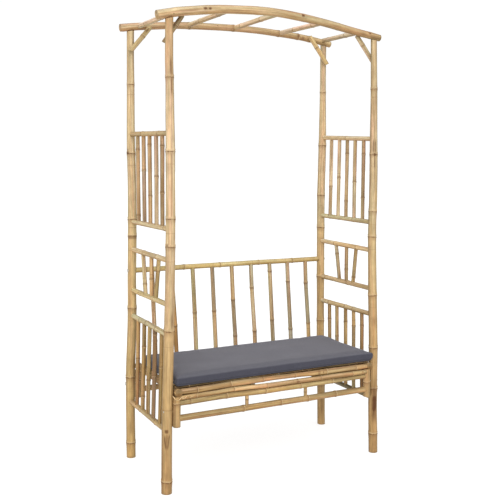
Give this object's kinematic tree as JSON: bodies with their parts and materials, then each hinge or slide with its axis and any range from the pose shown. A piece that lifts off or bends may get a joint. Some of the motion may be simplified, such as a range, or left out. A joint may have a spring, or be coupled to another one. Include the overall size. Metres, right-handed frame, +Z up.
{
  "type": "arbour seat",
  "caption": "Bamboo pole arbour seat: slatted garden bench with a loose cushion, slatted side frames and an arched rafter roof.",
  "frame": {"origin": "middle of the outline on the ground, under the seat", "axes": "+Z up, +X along the bench, -Y out of the front of the seat"},
  "size_m": [1.154, 0.504, 2.049],
  "materials": {
    "bamboo_post": "satin, natural bamboo culm with node rings",
    "bamboo_beam": "satin, natural bamboo, darker streaks",
    "bamboo_slat": "satin, thin bamboo canes",
    "bamboo_rung": "satin, pale bamboo canes",
    "cushion_fabric": "matt plain woven polyester",
    "bolt_steel": "zinc plated"
  },
  "bodies": {
    "arbour": {"post_front_left": "bamboo_post", "post_front_right": "bamboo_post", "post_back_left": "bamboo_post", "post_back_right": "bamboo_post", "roof_beam_front": "bamboo_beam", "roof_beam_back": "bamboo_beam", "rafter_1": "bamboo_beam", "rafter_2": "bamboo_beam", "rafter_3": "bamboo_beam", "rafter_4": "bamboo_beam", "rafter_5": "bamboo_beam", "brace_front_left": "bamboo_beam", "brace_front_right": "bamboo_beam", "brace_back_left": "bamboo_beam", "brace_back_right": "bamboo_beam", "left_upper_top_rung": "bamboo_rung", "left_upper_slats": "bamboo_slat", "left_fan_top_rung": "bamboo_rung", "left_fan_slats": "bamboo_slat", "left_lower_top_rung": "bamboo_rung", "left_lower_slats": "bamboo_slat", "right_upper_top_rung": "bamboo_rung", "right_upper_slats": "bamboo_slat", "right_fan_top_rung": "bamboo_rung", "right_fan_slats": "bamboo_slat", "right_lower_top_rung": "bamboo_rung", "right_lower_slats": "bamboo_slat", "backrest_top_rail": "bamboo_rung", "backrest_bottom_rail": "bamboo_beam", "backrest_slat_1": "bamboo_slat", "backrest_slat_2": "bamboo_slat", "backrest_slat_3": "bamboo_slat", "backrest_slat_4": "bamboo_slat", "backrest_slat_5": "bamboo_slat", "backrest_slat_6": "bamboo_slat", "backrest_slat_7": "bamboo_slat", "backrest_slat_8": "bamboo_slat", "backrest_slat_9": "bamboo_slat", "seat_side_rail_left": "bamboo_post", "seat_side_rail_right": "bamboo_post", "seat_stub_front_left": "bamboo_post", "seat_stub_front_right": "bamboo_post", "seat_stub_back_left": "bamboo_post", "seat_stub_back_right": "bamboo_post", "seat_front_rail_top": "bamboo_beam", "seat_front_rail_middle": "bamboo_beam", "seat_front_rail_bottom": "bamboo_beam", "front_stretcher": "bamboo_beam", "back_stretcher": "bamboo_beam", "front_spindle_1": "bamboo_slat", "front_spindle_2": "bamboo_slat", "seat_centre_bearer": "bamboo_beam", "seat_deck": "bamboo_slat", "bolt_backrest_left": "bolt_steel", "bolt_backrest_right": "bolt_steel", "bolt_seat_front_left": "bolt_steel", "bolt_seat_front_right": "bolt_steel", "bolt_seat_back_left": "bolt_steel", "bolt_seat_back_right": "bolt_steel"},
    "cushion": {"cushion": "cushion_fabric"}
  },
  "joints": [
    {"name": "cushion_lift", "type": "slide", "parent": "arbour", "child": "cushion", "axis": [0, -0.8944, 0.4472], "range_m": [0, 0.5]}
  ]
}
